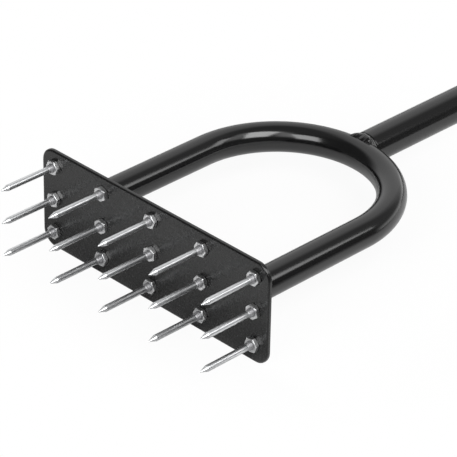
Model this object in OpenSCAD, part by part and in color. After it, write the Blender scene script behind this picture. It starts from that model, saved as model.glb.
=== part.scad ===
// Hand spike tool for turf: a flat steel plate with a grid of pointed spikes,
// a U-shaped tube welded to its back, and a long handle with a cross grip.
// It lies at rest: the plate stands on its long edge and the grips touch the floor.
// Millimetres. +X runs from the plate along the handle, +Z is up.
// Every piece is drawn in the tool's own axes and then laid down by lying().
// Tool axes: x = 0 is the plate's front face, the handle's centre line is y = z = 0.

/* [Plate] */
// Length of the plate along its long side
plate_length = 290; // [280:1:340]
// Height of the plate along its short side
plate_height = 101.5; // [92:0.5:130]
// Thickness of the plate
plate_thickness = 4; // [3:0.5:8]
// Radius of the plate's four corners
plate_corner = 15; // [4:1:16]

/* [Spikes] */
// Number of spikes along the plate's long side
spike_columns = 5; // [3:2:5]
// Number of spikes along the plate's short side
spike_rows = 3; // [1:2:3]
// Distance from the plate's edges to the outer rows and columns of spikes
hole_edge = 17; // [12:0.5:20]
// How far the grid of spikes sits above the plate's middle
grid_lift = 1; // [0:0.5:2]
// Distance from the plate's front face to the spikes' tips
spike_reach = 64; // [40:0.5:110]
// Diameter of a spike's plain shank
shank_d = 6; // [4:0.1:6.5]
// Length of a spike's conical point
point_length = 8; // [4:0.5:16]
// Diameter of the blunted end of the point
point_end_d = 0.6; // [0.4:0.1:1.5]
// Diameter of a spike's threaded foot
thread_d = 8; // [7:0.1:8.4]
// Length of threaded foot that stands out in front of the front nut
foot_showing = 3.2; // [1:0.1:6]
// Length of the cone between the threaded foot and the shank
shoulder_length = 1.4; // [0.6:0.1:3]
// Length of thread that stands out behind the rear nut
thread_end = 1.5; // [1:0.1:4]

/* [Spike nuts] */
// Width across the flats of the nuts
nut_flats = 13; // [12:0.5:14]
// Height of the thin nuts in front of the plate
front_nut_height = 4.4; // [3:0.1:8]
// Height of the nuts behind the plate
rear_nut_height = 6.5; // [4:0.1:8]

/* [Yoke] */
// Outer diameter of the yoke's tube
yoke_d = 29; // [24:0.5:32]
// Wall of the yoke's tube
yoke_wall = 1.5; // [1:0.1:3]
// Length of a leg's straight run, from the plate's back to the bend
leg_length = 158; // [60:1:220]
// Leg of the weld bead round each leg's foot
foot_weld = 4; // [3:0.5:6]

/* [Handle] */
// Length over all, from the spikes' tips to the far side of the grips
overall_length = 900; // [820:5:1200]
// Outer diameter of the lower handle tube
lower_d = 33; // [30:0.5:36]
// Wall of the lower handle tube
lower_wall = 1.6; // [1.2:0.1:1.8]
// Length of the lower handle tube
lower_length = 290; // [180:5:350]
// Wall of the upper handle tube
upper_wall = 1.5; // [1:0.1:3]
// Length of the upper tube inside the lower one
insertion = 90; // [70:5:120]
// How far the lower tube's end bites round the yoke
saddle_bite = 1.5; // [0.5:0.1:3]
// How far the weld on that end stays below the lower tube's outside
weld_below_rim = 0.8; // [0.2:0.1:1]

/* [Handle bolts] */
// Diameter of the two bolts that pin the handle tubes together
bolt_d = 6; // [5:0.5:8]
// Distance between the two bolts
bolt_pitch = 45; // [30:1:50]
// Width across the flats of the bolt heads and their nuts
bolt_flats = 10; // [9:0.5:13]
// Height of a bolt head
bolt_head_height = 4; // [3:0.1:6]
// Height of a bolt's nut
bolt_nut_height = 5; // [3:0.1:6]
// Diameter of the washers
washer_d = 12; // [11.5:0.5:16]
// Thickness of the washers
washer_thickness = 1.2; // [0.8:0.1:2]
// Length of bolt that stands out of its nut
bolt_end = 2; // [1:0.1:6]

/* [Cross grip] */
// Length of the cross grip over its two rubber grips
cross_length = 280; // [240:5:340]
// Length of bare crossbar between the two grips
bare_length = 56; // [40:1:90]
// How much thicker the crossbar's tube is than the upper handle tube
cross_extra = 1; // [1:0.5:6]
// Wall of the crossbar's tube
cross_wall = 1.5; // [1:0.1:3]
// Thickness of a grip's rubber round the crossbar
grip_wall = 2.95; // [2:0.05:5]
// Thickness of a grip's closed end
grip_end = 4; // [2:0.5:8]
// Radius of the rounding at a grip's closed end
grip_round = 4; // [2:0.5:6]
// How far the collar at a grip's open end stands out of the grip
collar_height = 2; // [1:0.5:5]
// Length of the collar at a grip's open end
grip_collar_length = 5; // [3:0.5:10]
// Leg of the weld bead between the handle and the crossbar
cross_weld = 3; // [2:0.5:5]

/* [Clearances] */
// Radial gap between a spike's thread and the hole in the plate
plate_hole_gap = 0.25; // [0.1:0.05:0.6]
// Radial gap between a thread and its nut
thread_gap = 0.05; // [0.02:0.01:0.2]
// Radial gap between a bolt and its holes
bolt_gap = 0.25; // [0.1:0.05:0.6]
// Radial gap between a grip and the crossbar
grip_gap = 0.05; // [0.02:0.01:0.2]
// Radial gap between the upper and the lower handle tube
handle_gap = 0.4; // [0.1:0.05:0.6]
// Gap between the beads at the yoke's feet and the rear nuts of the outer columns
foot_nut_gap = 0.6; // [0.3:0.1:11]

/* [Hidden] */
$fn = 64;
// Finer circles for the thin weld between the yoke and the handle
weld_fn = 160;
steel_black = [0.07, 0.07, 0.075];
zinc = [0.78, 0.79, 0.80];
rubber_black = [0.10, 0.10, 0.11];
weld_black = [0.12, 0.12, 0.12];

// How far a cut runs past the faces that it opens
overrun = 1;
// Chamfer at the end of every thread
thread_chamfer = 0.8;

// Grid of spikes
column_pitch = (plate_length - 2 * hole_edge) / (spike_columns - 1);
row_pitch = spike_rows > 1 ? (plate_height - 2 * hole_edge) / (spike_rows - 1) : 0;
outer_column = (spike_columns - 1) / 2 * column_pitch;

// Yoke: two straight legs, as far apart as the rear nuts let them stand, and a half circle
leg_y = outer_column - nut_flats / cos(30) / 2 - foot_nut_gap - foot_weld - yoke_d / 2;
bend_radius = leg_y;
bend_x = plate_thickness + leg_length;
apex_x = bend_x + bend_radius;
yoke_back_x = apex_x + yoke_d / 2;

// Handle and cross grip
upper_d = lower_d - 2 * lower_wall - 2 * handle_gap;
cross_d = upper_d + cross_extra;
grip_d = cross_d + 2 * grip_gap + 2 * grip_wall;
grip_collar_d = grip_d + 2 * collar_height;
grip_length = (cross_length - bare_length) / 2;
lower_start = yoke_back_x - saddle_bite;
lower_end = lower_start + lower_length;
upper_start = lower_end - insertion;
cross_x = overall_length - spike_reach - grip_collar_d / 2;
bolt_xs = [for (side = [-1, 1]) lower_end - insertion / 2 + side * bolt_pitch / 2];
bolt_seat = lower_d / 2 + washer_thickness;

// Weld in the groove between the yoke's round back and the lower tube's square end
groove_start = apex_x + 1;
groove_middle = (groove_start + lower_start) / 2;
groove_edge_proud = 0.3;
groove_middle_proud = 0.8;
groove_root = 2;
groove_side = 6;

// The crossbar's weld stops this far short of the crossbar's centre line
cross_weld_stop = 2.5;

// Spikes
rear_thread_end = plate_thickness + rear_nut_height + thread_end;
foot_front = front_nut_height + foot_showing;
// How far each front nut is turned, in degrees, by row from the top and column from the left
front_nut_turns = [
    [38, 6, 42, 32, 26],
    [52, 8, 0, 22, 10],
    [18, 36, 28, 30, 40],
];
// Rear nuts stop where they bite: their turns follow a rule instead
rear_turn_step = 37;

// The tool tips down by lying_angle until the grips' collars touch the floor.
// The floor passes through the plate's lower back edge and touches both collars from below.
rest_run = cross_x - plate_thickness;
rest_span = sqrt(pow(rest_run, 2) + pow(plate_height / 2, 2));
lying_angle = atan2(plate_height / 2, rest_run) - asin(grip_collar_d / 2 / rest_span);
low_tip_z = grid_lift - (spike_rows - 1) / 2 * row_pitch - point_end_d / 2;
low_tip_x = -spike_reach * cos(lying_angle) + low_tip_z * sin(lying_angle);
far_x = cross_x * cos(lying_angle) + grip_collar_d / 2;
rest_x = -(low_tip_x + far_x) / 2;
rest_z = plate_height / 2 * cos(lying_angle) + plate_thickness * sin(lying_angle);

// Row 1 is the top row, column 1 is on the left, which is +Y
spike_places = [for (row = [1:spike_rows], column = [1:spike_columns]) [row, column]];
function spike_name(row, column) = str("spike_r", row, "_c", column);
function spike_y(column) = ((spike_columns + 1) / 2 - column) * column_pitch;
function spike_z(row) = ((spike_rows + 1) / 2 - row) * row_pitch + grid_lift;

module lying() {
    translate([rest_x, 0, rest_z]) rotate([0, lying_angle, 0]) children();
}

// Turns a shape drawn along +Z so that it points along +X
module along_x() {
    rotate([0, 90, 0]) children();
}

// Turns a shape drawn along +Z so that it points along -X, out of the plate's front
module out_of_front() {
    rotate([0, -90, 0]) children();
}

// Turns a shape drawn along +Z so that it points along +Y, or along -Y where side is -1
module along_y(side = 1) {
    rotate([-side * 90, 0, 0]) children();
}

module tube(outer_d, wall, length) {
    difference() {
        cylinder(d = outer_d, h = length);
        translate([0, 0, -overrun]) cylinder(d = outer_d - 2 * wall, h = length + 2 * overrun);
    }
}

// Quarter-round bead about +Z that fills the corner between a tube and a flat
module corner_bead(tube_d, leg) {
    rotate_extrude() translate([tube_d / 2, 0]) intersection() {
        circle(r = leg);
        square(leg);
    }
}

// Hexagon block with chamfered corners, standing on z = 0
module hex_block(flats, height) {
    corners = flats / cos(30);
    chamfer = (corners - flats) / 2 * tan(30);
    intersection() {
        cylinder(d = corners, h = height, $fn = 6);
        rotate_extrude() polygon([
            [0, 0], [flats / 2, 0], [corners / 2, chamfer],
            [corners / 2, height - chamfer], [flats / 2, height], [0, height],
        ]);
    }
}

module hex_nut(flats, height, hole_d) {
    difference() {
        hex_block(flats, height);
        translate([0, 0, -overrun]) cylinder(d = hole_d, h = height + 2 * overrun);
    }
}

module head_plate() {
    inner_length = plate_length - 2 * plate_corner;
    inner_height = plate_height - 2 * plate_corner;
    color(steel_black) lying() difference() {
        union() {
            translate([0, -plate_length / 2, -inner_height / 2])
                cube([plate_thickness, plate_length, inner_height]);
            translate([0, -inner_length / 2, -plate_height / 2])
                cube([plate_thickness, inner_length, plate_height]);
            for (y = [-inner_length / 2, inner_length / 2], z = [-inner_height / 2, inner_height / 2])
                translate([0, y, z]) along_x() cylinder(r = plate_corner, h = plate_thickness);
        }
        for (place = spike_places)
            translate([-overrun, spike_y(place[1]), spike_z(place[0])]) along_x()
                cylinder(d = thread_d + 2 * plate_hole_gap, h = plate_thickness + 2 * overrun);
    }
}

// Solid bar of a given diameter along the yoke's centre line
module yoke_bar(d) {
    for (side = [-1, 1])
        translate([plate_thickness, side * leg_y, 0]) along_x() cylinder(d = d, h = leg_length);
    translate([bend_x, 0, 0]) rotate([0, 0, -90]) rotate_extrude(angle = 180)
        translate([bend_radius, 0]) circle(d = d);
}

module yoke_tube() {
    color(steel_black) lying() difference() {
        yoke_bar(yoke_d);
        yoke_bar(yoke_d - 2 * yoke_wall);
    }
}

module yoke_weld(side) {
    color(weld_black) lying()
        translate([plate_thickness, side * leg_y, 0]) along_x() corner_bead(yoke_d, foot_weld);
}

// Holes for the two bolts, through anything as wide as the lower tube
module bolt_holes() {
    for (x = bolt_xs) translate([x, -lower_d / 2 - overrun, 0]) along_y()
        cylinder(d = bolt_d + 2 * bolt_gap, h = lower_d + 2 * overrun);
}

module lower_handle_tube() {
    color(steel_black) lying() difference() {
        translate([lower_start, 0, 0]) along_x() tube(lower_d, lower_wall, lower_length);
        yoke_bar(yoke_d);
        bolt_holes();
    }
}

// Bead in the groove above the handle's middle plane, or below it where side is -1
module handle_weld(side) {
    $fn = weld_fn;
    root = yoke_d / 2 - groove_root;
    middle = sqrt(pow(yoke_d / 2, 2) - pow(groove_middle - apex_x, 2)) + groove_middle_proud;
    color(weld_black) lying() intersection() {
        difference() {
            along_x() rotate_extrude() polygon([
                [root, groove_start],
                [yoke_d / 2 + groove_edge_proud, groove_start],
                [middle, groove_middle],
                [lower_d / 2 - weld_below_rim, lower_start],
                [root, lower_start],
            ]);
            yoke_bar(yoke_d);
        }
        translate([groove_start, -lower_d / 2, side > 0 ? groove_side : -groove_side - lower_d / 2])
            cube([lower_start - groove_start, lower_d, lower_d / 2]);
    }
}

module upper_handle_tube() {
    color(steel_black) lying() difference() {
        translate([upper_start, 0, 0]) along_x() tube(upper_d, upper_wall, cross_x - upper_start);
        translate([cross_x, -upper_d, 0]) along_y() cylinder(d = cross_d, h = 2 * upper_d);
        bolt_holes();
    }
}

module handle_bolts() {
    shaft = 2 * bolt_seat + bolt_nut_height + bolt_end;
    color(zinc) lying() for (x = bolt_xs) translate([x, -bolt_seat, 0]) {
        along_y() rotate_extrude() polygon([
            [0, 0], [bolt_d / 2, 0], [bolt_d / 2, shaft - thread_chamfer],
            [bolt_d / 2 - thread_chamfer, shaft], [0, shaft],
        ]);
        along_y(-1) hex_block(bolt_flats, bolt_head_height);
    }
}

module handle_washers() {
    color(zinc) lying() for (x = bolt_xs, side = [-1, 1])
        translate([x, side * lower_d / 2, 0]) along_y(side) difference() {
            cylinder(d = washer_d, h = washer_thickness);
            translate([0, 0, -overrun])
                cylinder(d = bolt_d + 2 * bolt_gap, h = washer_thickness + 2 * overrun);
        }
}

module handle_nuts() {
    color(zinc) lying() for (x = bolt_xs) translate([x, bolt_seat, 0]) along_y()
        hex_nut(bolt_flats, bolt_nut_height, bolt_d + 2 * thread_gap);
}

module crossbar_tube() {
    bar_length = cross_length - 2 * grip_end;
    color(steel_black) lying() translate([cross_x, -bar_length / 2, 0]) along_y()
        tube(cross_d, cross_wall, bar_length);
}

// Bead along the seam where the handle's hollowed end meets the crossbar's side
module crossbar_weld() {
    near = cross_x - cross_d / 2 - cross_weld;
    color(weld_black) lying() difference() {
        intersection() {
            along_x() rotate_extrude() polygon([
                [upper_d / 2, near],
                [upper_d / 2 + cross_weld, near + cross_weld],
                [upper_d / 2 + cross_weld, cross_x - cross_weld_stop],
                [upper_d / 2, cross_x - cross_weld_stop],
            ]);
            translate([cross_x, -upper_d, 0]) along_y()
                cylinder(d = cross_d + 2 * cross_weld, h = 2 * upper_d);
        }
        translate([cross_x, -upper_d, 0]) along_y() cylinder(d = cross_d, h = 2 * upper_d);
    }
}

// Rubber grip, drawn outwards along +Z from its open end
module grip_body() {
    difference() {
        rotate_extrude() union() {
            square([grip_collar_d / 2, grip_collar_length]);
            square([grip_d / 2, grip_length - grip_round]);
            square([grip_d / 2 - grip_round, grip_length]);
            intersection() {
                translate([grip_d / 2 - grip_round, grip_length - grip_round]) circle(r = grip_round);
                square([grip_d / 2, grip_length]);
            }
        }
        translate([0, 0, -overrun])
            cylinder(d = cross_d + 2 * grip_gap, h = grip_length - grip_end + overrun);
    }
}

module grip(side) {
    color(rubber_black) lying()
        translate([cross_x, side * (cross_length / 2 - grip_length), 0]) along_y(side) grip_body();
}

module front_nuts() {
    color(zinc) lying() for (place = spike_places)
        translate([0, spike_y(place[1]), spike_z(place[0])]) out_of_front()
            rotate([0, 0, front_nut_turns[place[0] - 1][place[1] - 1]])
                hex_nut(nut_flats, front_nut_height, thread_d + 2 * thread_gap);
}

module rear_nuts() {
    color(zinc) lying() for (place = spike_places)
        translate([plate_thickness, spike_y(place[1]), spike_z(place[0])]) along_x()
            rotate([0, 0, rear_turn_step * (place[0] + spike_rows * place[1])])
                hex_nut(nut_flats, rear_nut_height, thread_d + 2 * thread_gap);
}

module spike(row, column) {
    color(zinc) lying() translate([0, spike_y(column), spike_z(row)]) out_of_front()
        rotate_extrude() polygon([
            [0, spike_reach],
            [point_end_d / 2, spike_reach],
            [shank_d / 2, spike_reach - point_length],
            [shank_d / 2, foot_front + shoulder_length],
            [thread_d / 2, foot_front],
            [thread_d / 2, -rear_thread_end + thread_chamfer],
            [thread_d / 2 - thread_chamfer, -rear_thread_end],
            [0, -rear_thread_end],
        ]);
}

head_plate();
yoke_tube();
yoke_weld(1);  // yoke_weld_left
yoke_weld(-1);  // yoke_weld_right
handle_weld(1);  // handle_weld_upper
handle_weld(-1);  // handle_weld_lower
lower_handle_tube();
upper_handle_tube();
handle_bolts();
handle_washers();
handle_nuts();
crossbar_tube();
crossbar_weld();
grip(1);  // left_grip
grip(-1);  // right_grip
front_nuts();
rear_nuts();
for (place = spike_places)
    spike(place[0], place[1]);
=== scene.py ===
"""Looks of the hand lawn aerator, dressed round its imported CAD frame.

The pieces are drawn in the tool's own axes, in millimetres: x = 0 is the plate's front face, +X runs
along the handle, +Z is up the plate, and the handle's centre line is y = z = 0. LAY turns these into
the frame's metres, with the tool lying on the plate's edge and on its grips.
"""

import math

import bmesh
import bpy
import numpy as np
from mathutils import Matrix, Vector, noise


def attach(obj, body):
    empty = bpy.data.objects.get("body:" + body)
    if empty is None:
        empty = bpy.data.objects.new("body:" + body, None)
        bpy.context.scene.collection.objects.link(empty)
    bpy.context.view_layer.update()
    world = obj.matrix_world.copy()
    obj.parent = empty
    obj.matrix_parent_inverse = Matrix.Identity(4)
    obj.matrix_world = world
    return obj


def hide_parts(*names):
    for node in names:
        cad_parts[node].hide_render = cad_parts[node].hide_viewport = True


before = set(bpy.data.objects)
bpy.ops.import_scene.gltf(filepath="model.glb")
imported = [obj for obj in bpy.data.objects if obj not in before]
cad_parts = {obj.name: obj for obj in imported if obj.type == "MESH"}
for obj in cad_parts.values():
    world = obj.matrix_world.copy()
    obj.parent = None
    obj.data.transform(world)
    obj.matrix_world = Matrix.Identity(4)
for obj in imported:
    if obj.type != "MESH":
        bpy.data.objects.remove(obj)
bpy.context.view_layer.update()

# ---------------------------------------------------------------- sizes, in millimetres and degrees

PLATE_LENGTH, PLATE_HEIGHT, PLATE_THICK, PLATE_CORNER = 290.0, 101.5, 4.0, 15.0
# The plate's edges are rounded: how far in from its outline, and how deep from its face
EDGE_IN, EDGE_DEEP = 2.2, 1.2
COLUMN_PITCH, ROW_PITCH, GRID_LIFT = 64.0, 33.75, 1.0
COLUMNS, ROWS = 5, 3
HOLE_R = 4.25

SPIKE_REACH, SHANK_R, POINT_LENGTH, TIP_R = 64.0, 3.0, 8.0, 0.3
THREAD_R, THREAD_PITCH, THREAD_DEPTH = 4.0, 1.25, 0.62
FOOT_SHOWING, SHOULDER, THREAD_END = 3.2, 1.4, 1.5
# A thread grows over its run-in. Inside a nut it goes on for a little way and is then a plain core
RUN_IN, THREAD_IN_NUT, CORE_IN_NUT = 0.9, 0.9, 1.2

NUT_FLATS, FRONT_NUT, REAR_NUT = 13.0, 4.4, 6.5
# Radius of a nut's six corners, width of the bevels along its chamfers, depth of its countersinks
NUT_CORNER, NUT_BEVEL, COUNTERSINK = 0.45, 0.14, 0.45
# The chamfer's slope, and its circle on the nut's face as a share of the width over the flats
CHAMFER_SLOPE, CHAMFER_CIRCLE = math.tan(math.radians(30)), 0.955
# How far each front nut is turned, by row from the top and column from +Y
FRONT_NUT_TURNS = ((38, 6, 42, 32, 26), (52, 8, 0, 22, 10), (18, 36, 28, 30, 40))
REAR_NUT_TURN = 37

YOKE_R, LEG_Y, LEG_LENGTH, FOOT_WELD = 14.5, 101.394, 158.0, 4.0
BEND_X = PLATE_THICK + LEG_LENGTH
APEX_X = BEND_X + LEG_Y
BEND_ARC = math.pi * LEG_Y
YOKE_LENGTH = 2 * LEG_LENGTH + BEND_ARC
# Bending flattens a tube: narrower in the bend's plane, taller across it, fully after so many degrees
BEND_NARROWER, BEND_TALLER, BEND_SETTLES = 0.3, 0.2, 25

LOWER_R, LOWER_WALL, LOWER_START, LOWER_LENGTH = 16.5, 1.6, 276.394, 290.0
UPPER_R, UPPER_WALL, INSERTION = 14.5, 1.5, 90.0
LOWER_END = LOWER_START + LOWER_LENGTH
UPPER_START = LOWER_END - INSERTION

# The bead between yoke and handle: where it ends, and how high its crown, ripples and lumps are
WELD_BELOW_RIM, CROWN_HIGH, RIPPLE_HIGH, LUMP_HIGH = 0.8, 2.1, 0.12, 1.1
# Two drops that stand up from it: where they lie (x, y), how high and how wide they are
WELD_DROPS, DROP_HIGH, DROP_WIDE = ((269.5, -6.0), (269.5, -11.0)), 1.6, 2.6
# From one ripple to the next, at the yoke's feet, between yoke and handle, and at the crossbar
FOOT_RIPPLE, GROOVE_RIPPLE, SADDLE_RIPPLE = 2.1, 2.4, 1.9

BOLT_PITCH, BOLT_R, BOLT_THREAD, BOLT_THREAD_DEPTH = 45.0, 3.0, 1.0, 0.5
BOLT_FLATS, BOLT_HEAD, BOLT_NUT, BOLT_TAIL = 10.0, 4.0, 5.0, 2.0
WASHER_R, WASHER_THICK, WASHER_EDGE = 6.0, 1.2, 0.15
BOLT_SEAT = LOWER_R + WASHER_THICK
BOLT_XS = [LOWER_END - INSERTION / 2 + side * BOLT_PITCH / 2 for side in (-1, 1)]

OVERALL_LENGTH = 900.0
CROSS_LENGTH, CROSS_R, CROSS_WALL, CROSS_WELD = 280.0, 15.0, 1.5, 3.0
GRIP_R, GRIP_LENGTH, GRIP_END, GRIP_ROUND, GRIP_BORE = 18.0, 112.0, 4.0, 4.0, 15.05
COLLAR_R, COLLAR_LENGTH, COLLAR_ROUND = 20.0, 5.0, 0.8
# The grips' grooves keep away from both ends. A groove's half: distance from its middle, share of depth
GROOVE_PITCH, GROOVE_DEEP, GROOVE_FREE = 4.0, 0.7, 8.0
HALF_GROOVE = ((0.2, 0.95), (0.45, 0.55), (0.65, 0.1), (0.9, 0.0))
GROOVE = [(-off, depth) for off, depth in reversed(HALF_GROOVE)] + list(HALF_GROOVE)
CROSS_X = OVERALL_LENGTH - SPIKE_REACH - COLLAR_R

# Sides of the round tubes and of threaded rods, in number
TUBE_SIDES, THREAD_SIDES = 96, 48
# The gap that keeps a fitted tube end clear of the tube it meets
FIT_GAP = 0.02

# The tool tips down until the collars touch the floor, with the plate's lower back edge on it
REST_RUN = CROSS_X - PLATE_THICK
LYING = math.atan2(PLATE_HEIGHT / 2, REST_RUN) - math.asin(COLLAR_R / math.hypot(REST_RUN, PLATE_HEIGHT / 2))
LOW_TIP_Z = GRID_LIFT - ROW_PITCH - TIP_R
LOW_TIP_X = -SPIKE_REACH * math.cos(LYING) + LOW_TIP_Z * math.sin(LYING)
REST_X = -(LOW_TIP_X + CROSS_X * math.cos(LYING) + COLLAR_R) / 2
REST_Z = PLATE_HEIGHT / 2 * math.cos(LYING) + PLATE_THICK * math.sin(LYING)
LAY = Matrix.Scale(0.001, 4) @ Matrix.Translation((REST_X, 0, REST_Z)) @ Matrix.Rotation(LYING, 4, "Y")
LAY_TURN = LAY.to_3x3().normalized()

PLACES = [
    (row, column, ((COLUMNS + 1) / 2 - column) * COLUMN_PITCH, ((ROWS + 1) / 2 - row) * ROW_PITCH + GRID_LIFT)
    for row in range(1, ROWS + 1)
    for column in range(1, COLUMNS + 1)
]


# ---------------------------------------------------------------- mesh helpers

ALONG_X, ALONG_Y = 0, 1


def loft(rings, closed=False):
    """Points and faces of a skin through rings of equal length. Open skins get a face at both ends."""
    rings = np.asarray(rings, float)
    count, size = rings.shape[:2]
    faces = []
    for i in range(count if closed else count - 1):
        a, b = i * size, (i + 1) % count * size
        faces += [(a + j, a + (j + 1) % size, b + (j + 1) % size, b + j) for j in range(size)]
    if not closed:
        faces.append(tuple(range(size)))
        faces.append(tuple(reversed(range((count - 1) * size, count * size))))
    return rings.reshape(-1, 3), faces


def join(parts):
    """Several (points, faces) as one."""
    points, faces, start = [], [], 0
    for p, f in parts:
        points.append(np.asarray(p, float))
        faces += [tuple(start + i for i in face) for face in f]
        start += len(p)
    return np.vstack(points), faces


def angles(count):
    return np.linspace(0, 2 * math.pi, count, endpoint=False)


def turned(profile, axis, centre, count, closed=False):
    """A turned form about a line along X or Y.

    The profile lists (place along the line, radius), and either may be an array that varies by angle.
    The line passes through (y, z) = centre if it runs along X, and through (x, z) = centre if along Y.
    """
    t = angles(count)
    rings = np.empty((len(profile), count, 3))
    for ring, (place, radius) in zip(rings, profile):
        ring[:, axis] = place
        ring[:, 1 - axis] = centre[0] + radius * np.sin(t)
        ring[:, 2] = centre[1] + radius * np.cos(t)
    return loft(rings, closed)


def arc(centre, radius, start, end, steps):
    """Points (a, b) on a circle, between two angles in degrees."""
    t = np.radians(np.linspace(start, end, steps + 1))
    return [(centre[0] + radius * math.cos(a), centre[1] + radius * math.sin(a)) for a in t]


def add_piece(name, data, material, node, weighted=False):
    """Puts a finished mesh into the scene in a CAD node's place, riding on the tool's body."""
    data.materials.append(material)
    obj = bpy.data.objects.new(name, data)
    bpy.context.scene.collection.objects.link(obj)
    if weighted:
        obj.modifiers.new("even_faces", "WEIGHTED_NORMAL").keep_sharp = True
    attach(obj, "root")
    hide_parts(node)


def piece(name, mesh, material, node, sharp=35.0, weighted=False):
    """Makes a piece from (points, faces) in the tool's axes. Edges above sharp degrees stay sharp."""
    points, faces = mesh
    data = bpy.data.meshes.new(name)
    data.from_pydata([tuple(p) for p in points], [], faces)
    data.transform(LAY)
    bm = bmesh.new()
    bm.from_mesh(data)
    bmesh.ops.recalc_face_normals(bm, faces=bm.faces)
    bm.to_mesh(data)
    bm.free()
    data.shade_smooth()
    data.set_sharp_from_angle(angle=math.radians(sharp))
    add_piece(name, data, material, node, weighted)


# ---------------------------------------------------------------- material helpers


class Graph:
    """Short calls for making and joining shader nodes."""

    def __init__(self, tree):
        self.tree = tree
        tree.nodes.clear()

    def node(self, kind, inputs=None, **settings):
        made = self.tree.nodes.new(kind)
        for key, value in settings.items():
            setattr(made, key, value)
        for key, value in (inputs or {}).items():
            self.feed(made.inputs[key], value)
        return made

    def feed(self, socket, value):
        """Joins the socket to another one, or sets it to a plain value."""
        if isinstance(value, bpy.types.NodeSocket):
            self.tree.links.new(value, socket)
        else:
            socket.default_value = value

    def math(self, operation, a, b=0.0):
        return self.node("ShaderNodeMath", {0: a, 1: b}, operation=operation).outputs[0]

    def span(self, value, low, high, to_low=0.0, to_high=1.0):
        """A smooth step from to_low to to_high while value goes from low to high."""
        inputs = {0: value, 1: low, 2: high, 3: to_low, 4: to_high}
        return self.node("ShaderNodeMapRange", inputs, interpolation_type="SMOOTHSTEP").outputs[0]

    def noise(self, vector, scale, detail=2.0, roughness=0.5):
        """Soft blotches, scale of them to the metre where the vector is in metres."""
        inputs = {"Vector": vector, "Scale": scale, "Detail": detail, "Roughness": roughness}
        return self.node("ShaderNodeTexNoise", inputs).outputs[0]

    def cells(self, vector, scale):
        """Distance to the nearest of scattered dots, scale of them to the metre."""
        return self.node("ShaderNodeTexVoronoi", {"Vector": vector, "Scale": scale}).outputs[0]

    def colours(self, factor, first, second):
        """A mix of two colours, each of them three numbers or a socket."""
        made = self.node("ShaderNodeMix", data_type="RGBA")
        for place, value in ((0, factor), (6, first), (7, second)):
            self.feed(made.inputs[place], (*value, 1.0) if isinstance(value, tuple) else value)
        return made.outputs[2]

    def bump(self, height, strength, distance):
        """A relief's normals. The distance is in metres."""
        inputs = {"Height": height, "Strength": strength, "Distance": distance}
        return self.node("ShaderNodeBump", inputs).outputs[0]

    def tool_axes(self, scale=(1, 1, 1)):
        """Where the point is in the tool's axes, in metres, stretched by scale."""
        place = self.node("ShaderNodeTexCoord").outputs["Object"]
        back = LAY.inverted().translation / 1000
        turned_back = {"Vector": place, "Rotation": (0, -LYING, 0), "Location": back}
        at = self.node("ShaderNodeMapping", turned_back).outputs[0]
        return self.node("ShaderNodeMapping", {"Vector": at, "Scale": scale}).outputs[0]

    def finish(self, kind, shader):
        """Joins the last shader to the tree's output."""
        self.feed(self.node(kind).inputs[0], shader.outputs[0])


def make_material(name, build):
    """A material from a function that takes a Graph and returns the Principled shader's inputs."""
    material = bpy.data.materials.new(name)
    material.use_nodes = True
    graph = Graph(material.node_tree)
    graph.finish("ShaderNodeOutputMaterial", graph.node("ShaderNodeBsdfPrincipled", build(graph)))
    return material


def black_coat(name, roughness, peel):
    """Gloss black stove enamel: a nearly black base, with the faint orange peel of sprayed powder."""

    def build(graph):
        at = graph.tool_axes()
        tone = graph.noise(at, 60.0, 4.0)
        return {
            "Base Color": graph.colours(tone, (0.0030, 0.0030, 0.0031), (0.0044, 0.0044, 0.0045)),
            "Roughness": graph.span(graph.noise(at, 240.0, 3.0), 0.3, 0.7, roughness * 0.95, roughness * 1.05),
            "IOR": 1.6,
            "Normal": graph.bump(graph.noise(at, 520.0), peel, 0.0002),
        }

    return make_material(name, build)


def weld_coat(name):
    """The same enamel over a weld: glossy, with spatter and small pits under it."""

    def build(graph):
        at = graph.tool_axes()
        pits = graph.cells(at, 400.0)
        lumps = graph.math("ADD", graph.noise(at, 260.0), graph.math("MULTIPLY", pits, 0.2))
        return {
            "Base Color": graph.colours(pits, (0.002, 0.002, 0.002), (0.004, 0.004, 0.004)),
            "Roughness": 0.07,
            "IOR": 1.55,
            "Normal": graph.bump(lumps, 0.05, 0.0006),
        }

    return make_material(name, build)


def bright_zinc(name, roughness, grain, light, dark, shank_rear=None):
    """Zinc plating with drawing marks. The grain gives how finely it varies along X, Y and Z.

    Behind x = shank_rear, in millimetres, the zinc is rougher, and darker as painted shade of the thread's
    grooves.
    """
    thread_shade_zinc, dull_rougher, thread_edge_fade = (0.42, 0.42, 0.43), 0.18, 0.4

    def build(graph):
        streak = graph.noise(graph.tool_axes(grain), 1.0, 3.0, 0.6)
        cloud = graph.noise(graph.tool_axes(), 300.0)
        tone = graph.math("ADD", graph.math("MULTIPLY", streak, 0.7), graph.math("MULTIPLY", cloud, 0.3))
        colour = graph.colours(graph.span(tone, 0.35, 0.65), dark, light)
        rough = graph.span(tone, 0.3, 0.7, roughness * 1.15, roughness * 0.85)
        if shank_rear is not None:
            x = graph.node("ShaderNodeSeparateXYZ", {0: graph.tool_axes()}).outputs[0]
            dull_and_shaded = graph.span(x, (shank_rear - thread_edge_fade) / 1000, (shank_rear + thread_edge_fade) / 1000)
            rough = graph.math("ADD", rough, graph.math("MULTIPLY", dull_and_shaded, dull_rougher))
            # Painted shade: the thread's zinc is darker, for the shade in its grooves
            colour = graph.colours(dull_and_shaded, colour, thread_shade_zinc)
        return {
            "Base Color": colour,
            "Roughness": rough,
            "Metallic": 1.0,
            "Normal": graph.bump(streak, 0.35, 0.0002),
        }

    return make_material(name, build)


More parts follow.
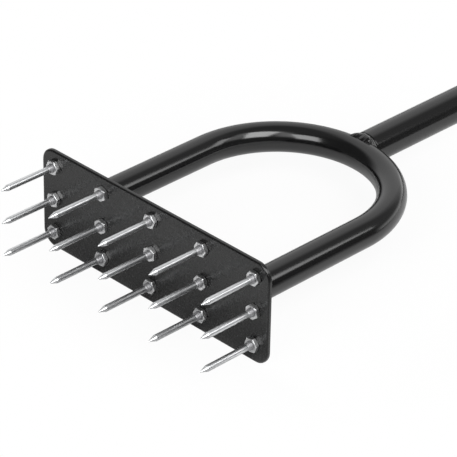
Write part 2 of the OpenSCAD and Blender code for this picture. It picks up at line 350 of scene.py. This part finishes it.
def grip_rubber(name):
    """Matt black rubber with a fine moulded grain and a little dust."""

    def build(graph):
        at = graph.tool_axes()
        dust = graph.span(graph.noise(at, 45.0, 5.0, 0.65), 0.45, 0.75)
        return {
            "Base Color": graph.colours(dust, (0.014, 0.014, 0.015), (0.026, 0.026, 0.027)),
            "Roughness": graph.span(dust, 0.0, 1.0, 0.5, 0.66),
            "Specular IOR Level": 0.4,
            "Normal": graph.bump(graph.cells(at, 900.0), 0.4, 0.0003),
        }

    return make_material(name, build)


plate_black = black_coat("plate_black", 0.27, 0.008)
tube_black = black_coat("tube_black", 0.15, 0.04)
weld_black = weld_coat("weld_black")
spike_zinc = bright_zinc(
    "spike_zinc",
    0.36,
    grain=(40.0, 1500.0, 1500.0),
    light=(0.86, 0.87, 0.88),
    dark=(0.67, 0.68, 0.69),
    shank_rear=-(FRONT_NUT + FOOT_SHOWING + SHOULDER),
)
nut_zinc = bright_zinc(
    "nut_zinc",
    0.30,
    grain=(900.0, 900.0, 900.0),
    light=(0.95, 0.955, 0.96),
    dark=(0.76, 0.765, 0.77),
)
grip_black = grip_rubber("grip_black")


# ---------------------------------------------------------------- plate


def plate_outline(inset):
    """Points (y, z) of the plate's outline, moved inwards by inset."""
    y0, z0 = PLATE_LENGTH / 2 - PLATE_CORNER, PLATE_HEIGHT / 2 - PLATE_CORNER
    points = []
    for k, corner in enumerate(((y0, z0), (-y0, z0), (-y0, -z0), (y0, -z0))):
        points += arc(corner, PLATE_CORNER - inset, 90 * k, 90 * k + 90, 16)
    return points


def bridge(bm, a, b):
    """Faces between two rings of the same number of vertices."""
    for i in range(len(a)):
        j = (i + 1) % len(a)
        bm.faces.new((a[i], a[j], b[j], b[i]))


def build_plate():
    """The plate as one closed mesh with rounded edges and a hole for each spike, and true normals."""
    bm = bmesh.new()
    normals = {}
    # Where the plate's two faces lie, and which way along X each one looks
    faces_at = ((0.0, -1), (PLATE_THICK, 1))

    def add_ring(points, x, face_side, lean):
        """A ring at depth x. Its normals lean so many degrees from straight off the face to outwards."""
        off_face, outwards = face_side * math.cos(math.radians(lean)), math.sin(math.radians(lean))
        ring = []
        for i, (y, z) in enumerate(points):
            along = Vector(points[(i + 1) % len(points)]) - Vector(points[i - 1])
            outward = Vector((along.y, -along.x)).normalized()
            v = bm.verts.new((x, y, z))
            normals[v] = Vector((off_face, outwards * outward.x, outwards * outward.y))
            ring.append(v)
        return ring

    rings = []
    for (face_x, face_side), leans in zip(faces_at, (range(0, 91, 15), range(90, -1, -15))):
        for lean in leans:
            inset = EDGE_IN * (1 - math.sin(math.radians(lean)))
            deep = EDGE_DEEP * (1 - math.cos(math.radians(lean)))
            rings.append(add_ring(plate_outline(inset), face_x - face_side * deep, face_side, lean))
    for a, b in zip(rings, rings[1:]):
        bridge(bm, a, b)

    hole = [(HOLE_R * math.cos(t), HOLE_R * math.sin(t)) for t in angles(32)]
    loops = [[rings[0]], [rings[-1]]]
    for _, _, y, z in PLACES:
        for (face_x, face_side), found in zip(faces_at, loops):
            edge = [bm.verts.new((face_x, y + a, z + b)) for a, b in hole]
            for v in edge:
                normals[v] = Vector((face_side, 0, 0))
            found.append(edge)
        bridge(bm, loops[0][-1], loops[1][-1])
    for (_, face_side), found in zip(faces_at, loops):
        edges = [bm.edges.get(pair) for ring in found for pair in zip(ring, ring[1:] + ring[:1])]
        bmesh.ops.triangle_fill(bm, use_beauty=True, edges=edges, normal=(face_side, 0, 0))
    bmesh.ops.recalc_face_normals(bm, faces=bm.faces)

    bm.verts.index_update()
    listed = [(LAY_TURN @ normals[v]).normalized() for v in bm.verts]
    data = bpy.data.meshes.new("plate")
    bm.to_mesh(data)
    bm.free()
    data.transform(LAY)
    data.shade_smooth()
    data.normals_split_custom_set_from_vertices(listed)
    add_piece("plate", data, plate_black, "head_plate")


# ---------------------------------------------------------------- spikes and nuts


def thread(x, turn, major, pitch, depth):
    """Radius of a screw thread at x for an array of turns, given as angles."""
    root, flanks = 0.12, 0.72  # shares of half a pitch; the rest is the crest
    phase = np.mod(x / pitch - turn / (2 * math.pi), 1.0)
    ridge = np.clip((np.abs(2 * phase - 1) - root) / flanks, 0, 1)
    return major - depth + depth * ridge


def build_spike(row, column, y, z):
    """Point, shank, shoulder and a foot whose thread shows in front of the nut and behind the rear one."""
    t = angles(THREAD_SIDES)
    nose, foot = -SPIKE_REACH, -(FRONT_NUT + FOOT_SHOWING)
    rear_face = PLATE_THICK + REAR_NUT
    rear = rear_face + THREAD_END
    core = THREAD_R - THREAD_DEPTH

    def ridges(x):
        return thread(x, t, THREAD_R, THREAD_PITCH, THREAD_DEPTH)

    profile = [(nose, TIP_R * 0.55), (nose + 0.12, TIP_R * 0.9)]
    for u in np.linspace(0.05, 1.0, 8):
        profile.append((nose + u * POINT_LENGTH, TIP_R + u * (SHANK_R - TIP_R)))
    profile += [(x, SHANK_R) for x in np.linspace(nose + POINT_LENGTH + 0.15, foot - SHOULDER, 10)]
    profile += [(foot - SHOULDER * 0.5, (SHANK_R + core) / 2 + 0.25), (foot - 0.15, core + 0.15)]
    step = THREAD_PITCH / 12
    for x in np.arange(foot, -FRONT_NUT + THREAD_IN_NUT, step):
        lead = min(1.0, max(0.0, (x - foot) / RUN_IN))
        profile.append((x, core + (ridges(x) - core) * lead + 0.12 * (1 - lead)))
    profile += [(-FRONT_NUT + CORE_IN_NUT, core), (rear_face - CORE_IN_NUT, core)]
    for x in np.arange(rear_face - THREAD_IN_NUT, rear - 0.01, step):
        end_chamfer = core - 0.1 + (rear - x)
        profile.append((x, np.minimum(ridges(x), end_chamfer)))
    profile.append((rear, core - 0.25))
    name = f"spike_r{row}_c{column}"
    mesh = turned(profile, ALONG_X, (y, z), THREAD_SIDES)
    piece(f"{name}_turned", mesh, spike_zinc, name, 14.0)


def hexagon(flats, turn):
    """Outline (u, v) of a hexagon with rounded corners. One corner lies at the angle turn."""
    reach = flats / 2 / math.cos(math.radians(30)) - NUT_CORNER / math.sin(math.radians(60))
    corners = []
    for k in range(6):
        at = turn + 60 * k
        middle = (reach * math.cos(math.radians(at)), reach * math.sin(math.radians(at)))
        corners.append(arc(middle, NUT_CORNER, at - 30, at + 30, 4))
    points = []
    for k in range(6):
        points += corners[k]
        # Points along each flat let the chamfer's curved edge follow the cone
        end, start = Vector(corners[k][-1]), Vector(corners[(k + 1) % 6][0])
        points += [tuple(end.lerp(start, u)) for u in (0.14, 0.28, 0.42, 0.58, 0.72, 0.86)]
    return np.array(points)


def hex_rings(flats, height, turn):
    """A hexagon's outside as rings (u, v, height), from the rim of its lower face to that of its upper.

    Also returns the function that makes such a ring, and the radius of the rim.
    """
    outline = hexagon(flats, turn)
    reach = np.hypot(outline[:, 0], outline[:, 1])
    unit = outline / reach[:, None]
    rim = flats / 2 * CHAMFER_CIRCLE
    drop = (reach - rim) * CHAMFER_SLOPE

    def ring(radius, level):
        made = np.empty((len(outline), 3))
        made[:, :2] = unit * np.broadcast_to(radius, reach.shape)[:, None]
        made[:, 2] = level
        return made

    inner, nearly = reach - NUT_BEVEL, reach - NUT_BEVEL * 0.25
    slope = NUT_BEVEL * CHAMFER_SLOPE
    outside = [
        ring(rim, 0.0),
        ring(rim + 0.05, 0.02),
        ring(inner, drop - slope),
        ring(nearly, drop + NUT_BEVEL * 0.25),
        ring(reach, drop + NUT_BEVEL),
        ring(reach, height - drop - NUT_BEVEL),
        ring(nearly, height - drop - NUT_BEVEL * 0.25),
        ring(inner, height - drop + slope),
        ring(rim + 0.05, height - 0.02),
        ring(rim, height),
    ]
    return ring, rim, outside


def nut(flats, height, bore, turn):
    """A chamfered nut with a countersunk, threaded bore, standing on level 0."""
    ring, _, outside = hex_rings(flats, height, turn)
    ridge = 0.25  # how far the thread stands into the bore
    inside = [
        ring(bore + COUNTERSINK, height),
        ring(bore + 0.05, height - COUNTERSINK),
        ring(bore - ridge, height - COUNTERSINK - ridge),
        ring(bore - ridge, COUNTERSINK + ridge),
        ring(bore + 0.05, COUNTERSINK),
        ring(bore + COUNTERSINK, 0.0),
    ]
    return loft(outside + inside, closed=True)


def build_nuts():
    front, rear = [], []
    for row, column, y, z in PLACES:
        points, faces = nut(NUT_FLATS, FRONT_NUT, THREAD_R, FRONT_NUT_TURNS[row - 1][column - 1])
        front.append((np.column_stack((-points[:, 2], y + points[:, 1], z + points[:, 0])), faces))
        points, faces = nut(NUT_FLATS, REAR_NUT, THREAD_R, REAR_NUT_TURN * (row + ROWS * column))
        rear.append((np.column_stack((PLATE_THICK + points[:, 2], y + points[:, 1], z - points[:, 0])), faces))
    piece("front_nuts_cut", join(front), nut_zinc, "front_nuts", 50.0, True)
    piece("rear_nuts_cut", join(rear), nut_zinc, "rear_nuts", 50.0, True)


# ---------------------------------------------------------------- yoke and its welds


def yoke_frame(d):
    """Centre, sideways direction and share of full flattening, d millimetres along the yoke."""
    if d <= LEG_LENGTH:
        return Vector((PLATE_THICK + d, LEG_Y, 0)), Vector((0, 1, 0)), 0.0
    if d >= LEG_LENGTH + BEND_ARC:
        return Vector((PLATE_THICK + YOKE_LENGTH - d, -LEG_Y, 0)), Vector((0, -1, 0)), 0.0
    along = (d - LEG_LENGTH) / LEG_Y
    side = Vector((math.sin(along), math.cos(along), 0))
    share = min(1.0, min(along, math.pi - along) / math.radians(BEND_SETTLES))
    return Vector((BEND_X, 0, 0)) + side * LEG_Y, side, share * share * (3 - 2 * share)


def build_yoke():
    t = angles(TUBE_SIDES)
    leg = [LEG_LENGTH * share for share in (0.0, 0.3, 0.6, 0.9)]
    bend = np.linspace(LEG_LENGTH, LEG_LENGTH + BEND_ARC, 145)
    rings = []
    for d in (*leg, *bend, *(YOKE_LENGTH - d for d in reversed(leg))):
        centre, side, share = yoke_frame(d)
        across = (YOKE_R - BEND_NARROWER * share) * np.cos(t)
        upwards = (YOKE_R + BEND_TALLER * share) * np.sin(t)
        rings.append(np.column_stack((centre.x + side.x * across, centre.y + side.y * across, upwards)))
    piece("yoke_bent_tube", loft(rings), tube_black, "yoke_tube")


def build_foot_weld(name, node, side):
    """A rippled fillet weld round one leg's foot, on the plate's back."""
    deep = YOKE_R - 0.4
    rings = []
    for t in angles(288):
        along = t * (YOKE_R + FOOT_WELD / 2)
        unit = Vector((math.sin(t), math.cos(t)))
        wander = noise.noise(Vector((unit.x * 1.7, unit.y * 1.7, side * 3.0)))
        ring = []
        # The fillet keeps a little inside its full size, and its ripples are deepest half way round
        for a in np.radians(np.linspace(0, 90, 11)):
            ripple = 0.5 + 0.5 * math.sin(along / FOOT_RIPPLE * 2 * math.pi + 1.6 * math.sin(2 * a))
            leg = FOOT_WELD - 0.28 - 0.34 * ripple * math.sin(2 * a) ** 0.5 + 0.25 * wander
            radius = YOKE_R + leg * math.cos(a)
            ring.append((PLATE_THICK + leg * math.sin(a), side * LEG_Y + radius * unit.x, radius * unit.y))
        for x in (PLATE_THICK + 1.0, PLATE_THICK - 0.3):
            ring.append((x, side * LEG_Y + deep * unit.x, deep * unit.y))
        rings.append(ring)
    piece(name, loft(rings, closed=True), weld_black, node, 60.0)


def yoke_height(x, y):
    """Height of the yoke's upper skin over the handle's middle plane, or 0 outside it."""
    off = math.hypot(x - BEND_X, y) - LEG_Y
    inside = YOKE_R**2 - off**2
    return math.sqrt(inside) if inside > 0 else 0.0


def yoke_back(y, z):
    """How far back the yoke reaches at a point (y, z) of the handle's end."""
    if abs(z) >= YOKE_R:
        return 0.0
    reach = LEG_Y + math.sqrt(YOKE_R**2 - z**2)
    return BEND_X + math.sqrt(max(0.0, reach**2 - y**2))


def drops_at(x, y):
    """How far the weld's drops rise at a point, as a share of their full height."""
    return sum(math.exp(-((x - x0) ** 2 + (y - y0) ** 2) / (2 * DROP_WIDE**2)) for x0, y0 in WELD_DROPS)


def build_handle_weld(name, node, side):
    """The lumpy bead that fills the groove between the yoke's back and the handle's square end."""
    half = YOKE_R - 0.6
    rim = LOWER_R - WELD_BELOW_RIM
    sunk, inner_x = 1.5, LOWER_START - 4.0
    rings = []
    for y in np.linspace(-half, half, 97):
        taper = 1 - abs(y / half) ** 6
        wander = 0.8 * noise.noise(Vector((y * 0.35, side * 5.0, 0)))
        start_x = APEX_X + 1.5 - 3.0 * (1 - math.cos(y / half * 1.2)) + wander
        start = Vector((start_x, yoke_height(start_x, y)))
        end = Vector((LOWER_START + 0.25, math.sqrt(rim**2 - y**2)))
        ring = []
        for u in np.linspace(0, 1, 21):
            at = start.lerp(end, u)
            swell = math.sin(math.pi * u)
            crown = CROWN_HIGH * swell**0.8
            ripple = RIPPLE_HIGH * math.sin(y / GROOVE_RIPPLE * 2 * math.pi + 2.4 * u * (1 - u) * 4)
            lumps = LUMP_HIGH * noise.noise(Vector((y * 0.2, u * 1.8, side * 2.0)))
            lift = (crown + (ripple + lumps + DROP_HIGH * drops_at(at.x, y)) * swell) * taper
            above_yoke = yoke_height(at.x, y) + 0.15 * swell * taper
            ring.append((at.x, y, side * max(at.y + lift, above_yoke)))
        # The bead's hidden side lies inside the handle's end and under the yoke's skin
        inner_end = min(end.y, yoke_height(LOWER_START - 1.0, y) or end.y) - sunk
        ring.append((LOWER_START + 0.2, y, side * inner_end))
        ring.append((inner_x, y, side * (yoke_height(inner_x, y) - sunk)))
        ring.append((start.x, y, side * (start.y - 0.8)))
        rings.append(ring)
    piece(name, loft(rings), weld_black, node, 60.0)


# ---------------------------------------------------------------- handle


def build_lower_handle():
    """A plain tube with rounded rims. Its front end is notched round the yoke's back."""
    r, inner_r, soft = LOWER_R, LOWER_R - LOWER_WALL, 0.5
    softer = soft * 0.3

    def front(radius):
        ends = [yoke_back(radius * math.sin(a), radius * math.cos(a)) for a in angles(TUBE_SIDES)]
        return np.maximum(LOWER_START, np.array(ends) + FIT_GAP)

    outer, inner = front(r), front(inner_r)
    profile = [
        (inner + soft, inner_r),
        (inner + softer, inner_r + softer),
        (inner, inner_r + soft),
        (outer, r - soft),
        (outer + softer, r - softer),
        (outer + soft, r),
        (outer + soft + 0.4, r),
    ]
    profile += [(x, r) for x in np.linspace(LOWER_START + 6, LOWER_END - soft, 9)]
    profile += [
        (LOWER_END - softer, r - softer),
        (LOWER_END, r - soft),
        (LOWER_END, inner_r + soft),
        (LOWER_END - soft, inner_r),
    ]
    mesh = turned(profile, ALONG_X, (0, 0), TUBE_SIDES, closed=True)
    piece("lower_handle", mesh, tube_black, "lower_handle_tube", 40.0)


def build_upper_handle():
    """The thinner tube, from inside the lower one to the crossbar, whose side its end fits."""
    inner_r = UPPER_R - UPPER_WALL

    def cope(radius):
        height = radius * np.cos(angles(TUBE_SIDES))
        return CROSS_X - np.sqrt(CROSS_R**2 - height**2) - FIT_GAP

    profile = [(UPPER_START, inner_r), (UPPER_START, UPPER_R)]
    profile += [(x, UPPER_R) for x in np.linspace(UPPER_START + 20, CROSS_X - CROSS_R - 10, 8)]
    profile += [(cope(UPPER_R), UPPER_R), (cope(inner_r), inner_r)]
    mesh = turned(profile, ALONG_X, (0, 0), TUBE_SIDES, closed=True)
    piece("upper_handle", mesh, tube_black, "upper_handle_tube", 40.0)


def bolt_head(x):
    """A chamfered hexagon with a dished top, on the handle's -Y side."""
    ring, rim, outside = hex_rings(BOLT_FLATS, BOLT_HEAD, 0)
    dish = BOLT_HEAD - 0.18
    top = [ring(rim * 0.8, BOLT_HEAD), ring(rim * 0.74, dish), ring(0.4, dish)]
    points, faces = loft([ring(rim * 0.4, 0.0), *outside, *top])
    return np.column_stack((x + points[:, 0], -BOLT_SEAT - points[:, 2], points[:, 1])), faces


def bolt_shaft(x):
    """A plain shaft along Y, whose thread shows behind the nut."""
    core, plain = BOLT_R - BOLT_THREAD_DEPTH, BOLT_R * 0.98
    nut_end = BOLT_SEAT + BOLT_NUT
    tail = nut_end + BOLT_TAIL
    profile = [(-BOLT_SEAT - 0.5, plain), (nut_end - 1.5, plain), (nut_end - 1.4, core)]
    for y in np.arange(nut_end - 1.2, tail - 0.01, BOLT_THREAD / 12):
        ridges = thread(y, angles(THREAD_SIDES), BOLT_R, BOLT_THREAD, BOLT_THREAD_DEPTH)
        end_chamfer = core - 0.1 + (tail - y)
        profile.append((y, np.minimum(ridges, end_chamfer)))
    profile.append((tail, core - 0.2))
    return turned(profile, ALONG_Y, (x, 0), THREAD_SIDES)


def washer(x, side):
    low, high = side * LOWER_R, side * BOLT_SEAT
    bore, shy = BOLT_R + 0.25, WASHER_R - WASHER_EDGE
    profile = [
        (low, bore),
        (low, shy),
        (low + side * WASHER_EDGE, WASHER_R),
        (high - side * WASHER_EDGE, WASHER_R),
        (high, shy),
        (high, bore),
    ]
    return turned(profile, ALONG_Y, (x, 0), 64, closed=True)


def build_handle_fasteners():
    """Two hexagon bolts across the handle, with washers and nuts."""
    bolts, washers, nuts = [], [], []
    for x in BOLT_XS:
        bolts += [bolt_head(x), bolt_shaft(x)]
        washers += [washer(x, -1), washer(x, 1)]
        points, faces = nut(BOLT_FLATS, BOLT_NUT, BOLT_R, 0)
        nuts.append((np.column_stack((x + points[:, 0], BOLT_SEAT + points[:, 2], points[:, 1])), faces))
    piece("handle_bolts_cut", join(bolts), nut_zinc, "handle_bolts", 40.0, True)
    piece("handle_washers_cut", join(washers), nut_zinc, "handle_washers", 30.0)
    piece("handle_nuts_cut", join(nuts), nut_zinc, "handle_nuts", 50.0, True)


# ---------------------------------------------------------------- cross grip


def build_crossbar():
    """A plain tube, bevelled outside at both ends."""
    half, bore, bevel = CROSS_LENGTH / 2 - GRIP_END, CROSS_R - CROSS_WALL, 0.3
    profile = [(-half, bore), (-half, CROSS_R - bevel), (-half + bevel, CROSS_R)]
    profile += [(y, CROSS_R) for y in np.linspace(-half + 20, half - 20, 9)]
    profile += [(half - bevel, CROSS_R), (half, CROSS_R - bevel), (half, bore)]
    mesh = turned(profile, ALONG_Y, (CROSS_X, 0), TUBE_SIDES, closed=True)
    piece("crossbar", mesh, tube_black, "crossbar_tube", 40.0)


def cross_front(z):
    """Where the crossbar's front skin lies at height z. Above and below the bar it stays put."""
    return CROSS_X - math.sqrt(max(4.0, CROSS_R**2 - z**2))


def build_crossbar_weld():
    """A rippled bead along the saddle-shaped seam between the upper tube and the crossbar."""
    rings = []
    for t in angles(240):
        unit = Vector((math.sin(t), math.cos(t)))
        z = UPPER_R * unit.y
        toe = cross_front(z)
        leg = CROSS_WELD * (1 - 0.35 * abs(z) / CROSS_R)
        ripple = 0.12 * math.sin(t * UPPER_R / SADDLE_RIPPLE * 2 * math.pi)
        wander = 0.25 * noise.noise(Vector((unit.x * 2, unit.y * 2, 7.0)))
        ring = []
        for u in np.linspace(0, 1, 9):
            bulge = math.sin(math.pi * u) * (0.42 + ripple + wander)
            r = UPPER_R + leg * 0.8 * u + bulge * 0.5
            x = (toe - leg) * (1 - u) + cross_front(r * unit.y) * u - bulge * 0.6 * (1 - u)
            ring.append((x, r * unit.x, r * unit.y))
        # The bead's hidden side lies inside the crossbar's skin and the upper tube's
        outer, inner = UPPER_R + leg * 0.8, UPPER_R - 0.4
        ring.append((cross_front(outer * unit.y) + 0.6, outer * unit.x, outer * unit.y))
        ring.append((toe + 0.3, inner * unit.x, inner * unit.y))
        rings.append(ring)
    piece("crossbar_weld_bead", loft(rings, closed=True), weld_black, "crossbar_weld", 60.0)


def build_grip(name, node, side):
    """A moulded grip: collar, two plain bands with grooves between them, and a closed domed end."""
    start, end = CROSS_LENGTH / 2 - GRIP_LENGTH, CROSS_LENGTH / 2
    back, collar_r = start + COLLAR_LENGTH, COLLAR_R - COLLAR_ROUND
    profile = [(end - GRIP_END, 2.0), (end - GRIP_END, GRIP_BORE), (start, GRIP_BORE)]
    profile += arc((start + COLLAR_ROUND, collar_r), COLLAR_ROUND, 180, 90, 3)
    profile += arc((back - COLLAR_ROUND, collar_r), COLLAR_ROUND, 90, 0, 3)
    profile += [(back, GRIP_R + 0.4), (back + 0.4, GRIP_R)]
    first, last = back + GROOVE_FREE, end - GRIP_ROUND - GROOVE_FREE
    profile.append((first, GRIP_R))
    for k in range(int((last - first) / GROOVE_PITCH)):
        y = first + (k + 0.5) * GROOVE_PITCH
        profile += [(y + off, GRIP_R - GROOVE_DEEP * depth) for off, depth in GROOVE]
    profile += arc((end - GRIP_ROUND, GRIP_R - GRIP_ROUND), GRIP_ROUND, 90, 0, 6)
    profile += [(end, 6.0), (end - 0.3, 5.6), (end - 0.3, 0.8)]
    placed = [(side * y, r) for y, r in profile]
    piece(name, turned(placed, ALONG_Y, (CROSS_X, 0), TUBE_SIDES), grip_black, node, 30.0)


build_plate()
for place in PLACES:
    build_spike(*place)
build_nuts()
build_yoke()
build_foot_weld("left_foot_bead", "yoke_weld_left", 1)
build_foot_weld("right_foot_bead", "yoke_weld_right", -1)
build_handle_weld("upper_groove_bead", "handle_weld_upper", 1)
build_handle_weld("lower_groove_bead", "handle_weld_lower", -1)
build_lower_handle()
build_upper_handle()
build_handle_fasteners()
build_crossbar()
build_crossbar_weld()
build_grip("left_moulded_grip", "left_grip", 1)
build_grip("right_moulded_grip", "right_grip", -1)


# ---------------------------------------------------------------- camera

# The camera was fitted to the photo. Its axes and place are in the tool's axes, in millimetres.
CAMERA_RIGHT = Vector((0.7134995, -0.70045583, 0.01673606))
CAMERA_DOWN = Vector((-0.35234245, -0.37934521, -0.85554194))
CAMERA_AHEAD = Vector((0.60561808, 0.60453192, -0.51746294))
CAMERA_AT = Vector((-1460.1808, -1552.37494, 1315.92753))
FOCAL_PIXELS, FRAME_PIXELS, SENSOR = 2841.243, 457, 36.0

camera_data = bpy.data.cameras.new("camera")
camera_data.sensor_width = SENSOR
camera_data.lens = FOCAL_PIXELS / FRAME_PIXELS * SENSOR
camera_data.clip_start, camera_data.clip_end = 0.05, 100.0
camera = bpy.data.objects.new("camera", camera_data)
camera_axes = Matrix([LAY_TURN @ axis for axis in (CAMERA_RIGHT, -CAMERA_DOWN, -CAMERA_AHEAD)]).transposed()
camera.matrix_world = Matrix.Translation(LAY @ CAMERA_AT) @ camera_axes.to_4x4()
bpy.context.scene.collection.objects.link(camera)
bpy.context.scene.camera = camera
bpy.context.scene.view_settings.view_transform = "Standard"


# ---------------------------------------------------------------- studio, in metres and degrees

STUDIO_CENTRE = LAY @ Vector((180.0, 0.0, 0.0))
CAMERA_AZIMUTH = -136.6


def direction(azimuth, elevation):
    """Unit vector. The azimuth goes from +X towards +Y."""
    a, e = math.radians(azimuth), math.radians(elevation)
    return Vector((math.cos(a) * math.cos(e), math.sin(a) * math.cos(e), math.sin(e)))


def softbox(name, azimuth, elevation, wide, tall, radiance, distance=2.6):
    """A rectangular lamp that fills wide x tall degrees, seen from the tool, with an even radiance."""
    lamp = bpy.data.lights.new(name, "AREA")
    lamp.shape = "RECTANGLE"
    lamp.size = 2 * distance * math.tan(math.radians(wide / 2))
    lamp.size_y = 2 * distance * math.tan(math.radians(tall / 2))
    lamp.energy = radiance * math.pi * lamp.size * lamp.size_y
    obj = bpy.data.objects.new(name, lamp)
    away = direction(azimuth, elevation)
    facing = away.to_track_quat("Z", "Y").to_matrix().to_4x4()
    obj.matrix_world = Matrix.Translation(STUDIO_CENTRE + away * distance) @ facing
    obj.visible_camera = False
    bpy.context.scene.collection.objects.link(obj)


# Azimuth and elevation, width and height, then radiance
softbox("softbox_a", -103, 47, 27, 36, 6.9)
softbox("softbox_b", -166, 35, 27, 30, 5.2)
softbox("softbox_c", -50, 36, 13, 24, 3.1)


def build_world():
    """A studio by direction: a dim room with bright patches. The camera sees plain white."""
    room = 0.1
    world = bpy.data.worlds.new("studio")
    bpy.context.scene.world = world
    world.use_nodes = True
    graph = Graph(world.node_tree)
    toward = graph.node("ShaderNodeTexCoord").outputs["Generated"]
    x, y, z = graph.node("ShaderNodeSeparateXYZ", {0: toward}).outputs
    elevation = graph.math("MULTIPLY", graph.math("ARCSINE", z), math.degrees(1))
    azimuth = graph.math("MULTIPLY", graph.math("ARCTAN2", y, x), math.degrees(1))

    def window(value, low, high, soft):
        """1 between low and high, fading to 0 within soft degrees of each."""
        rise = graph.span(value, low - soft, low + soft)
        fall = graph.span(value, high - soft, high + soft, 1.0, 0.0)
        return graph.math("MULTIPLY", rise, fall)

    def patch(level, azimuths, elevations, soft_azimuth=6.0, soft_elevation=6.0):
        """Light of this level inside a window of azimuth and elevation."""
        beside = window(azimuth, *azimuths, soft_azimuth)
        above = window(elevation, *elevations, soft_elevation)
        return graph.math("MULTIPLY", graph.math("MULTIPLY", beside, above), level)

    # Level, azimuths, elevations, then how softly the patch ends where that isn't 6 degrees
    everywhere = (-200, 200)
    patches = [
        patch(0.76, (6, 97), (0, 61), 14.0, 10.0),
        patch(1.35, (-42, 22), (-95, 6)),
        patch(0.18, (-42, 6), (6, 60)),
        patch(1.25, (-82, -60), (30, 60)),
        patch(1.60, (-150, -128), (26, 58), 7.0, 7.0),
        patch(0.13, everywhere, (58, 95), soft_elevation=8.0),
        patch(0.15, (22, 200), (-95, -12)),
        patch(0.15, (-200, -42), (-95, -12)),
    ]
    total = room
    for light in patches:
        total = graph.math("ADD", light, total)
    seen = graph.node("ShaderNodeLightPath").outputs["Is Camera Ray"]
    strength = graph.node("ShaderNodeMix", {0: seen, 2: total, 3: 1.0}, data_type="FLOAT").outputs[0]
    background = graph.node("ShaderNodeBackground", {"Color": (1, 1, 1, 1), "Strength": strength})
    graph.finish("ShaderNodeOutputWorld", background)


def floor_paper():
    """Pale paper with painted shade towards its ends and a painted shadow between the plate and the spikes'
    tips.

    The camera sees it mostly as plain white, with a little of its shading round the middle.
    """
    paper_grey = 0.82
    material = bpy.data.materials.new("floor_paper")
    material.use_nodes = True
    graph = Graph(material.node_tree)
    at = graph.node("ShaderNodeTexCoord").outputs["Object"]
    x, y, _ = graph.node("ShaderNodeSeparateXYZ", {0: at}).outputs
    # Painted shade: the paper is darker towards two of its ends
    ends = graph.math("MULTIPLY", graph.span(x, -0.62, -0.46, 0.3, 1.0), graph.span(y, -0.36, -0.18, 0.3, 1.0))
    # Painted shadow: the paper is darker between the plate and the spikes' tips
    before_spikes = graph.span(x, -0.51, -0.43, 1.0, 0.55)
    behind_plate = graph.span(x, -0.425, -0.375)
    painted_plate_shadow = graph.math("MAXIMUM", before_spikes, behind_plate)
    grey = graph.math("MULTIPLY", graph.math("MULTIPLY", ends, painted_plate_shadow), paper_grey)
    paper = graph.node("ShaderNodeBsdfDiffuse", {"Color": grey})
    white = graph.node("ShaderNodeEmission", {"Color": (1, 1, 1, 1), "Strength": 1.0})
    to_middle = graph.node("ShaderNodeVectorMath", {0: at, 1: tuple(STUDIO_CENTRE)}, operation="DISTANCE")
    white_share = graph.span(to_middle.outputs["Value"], 0.10, 0.34, 0.92, 1.0)
    camera_ray = graph.node("ShaderNodeLightPath").outputs["Is Camera Ray"]
    seen = graph.math("MULTIPLY", camera_ray, white_share)
    mixed = graph.node("ShaderNodeMixShader", {0: seen, 1: paper.outputs[0], 2: white.outputs[0]})
    graph.finish("ShaderNodeOutputMaterial", mixed)
    return material


def build_floor():
    """A table top whose sides run along and across the camera's line of sight."""
    near, far, left, right = 0.36, -0.85, -1.0, 0.6
    toward = direction(CAMERA_AZIMUTH, 0)
    across = Vector((-toward.y, toward.x, 0))
    ground = Vector((STUDIO_CENTRE.x, STUDIO_CENTRE.y, 0))
    corners = ((near, left), (near, right), (far, right), (far, left))
    data = bpy.data.meshes.new("floor")
    data.from_pydata([ground + toward * a + across * b for a, b in corners], [], [(0, 1, 2, 3)])
    data.materials.append(floor_paper())
    floor = bpy.data.objects.new("floor", data)
    bpy.context.scene.collection.objects.link(floor)


build_world()
build_floor()
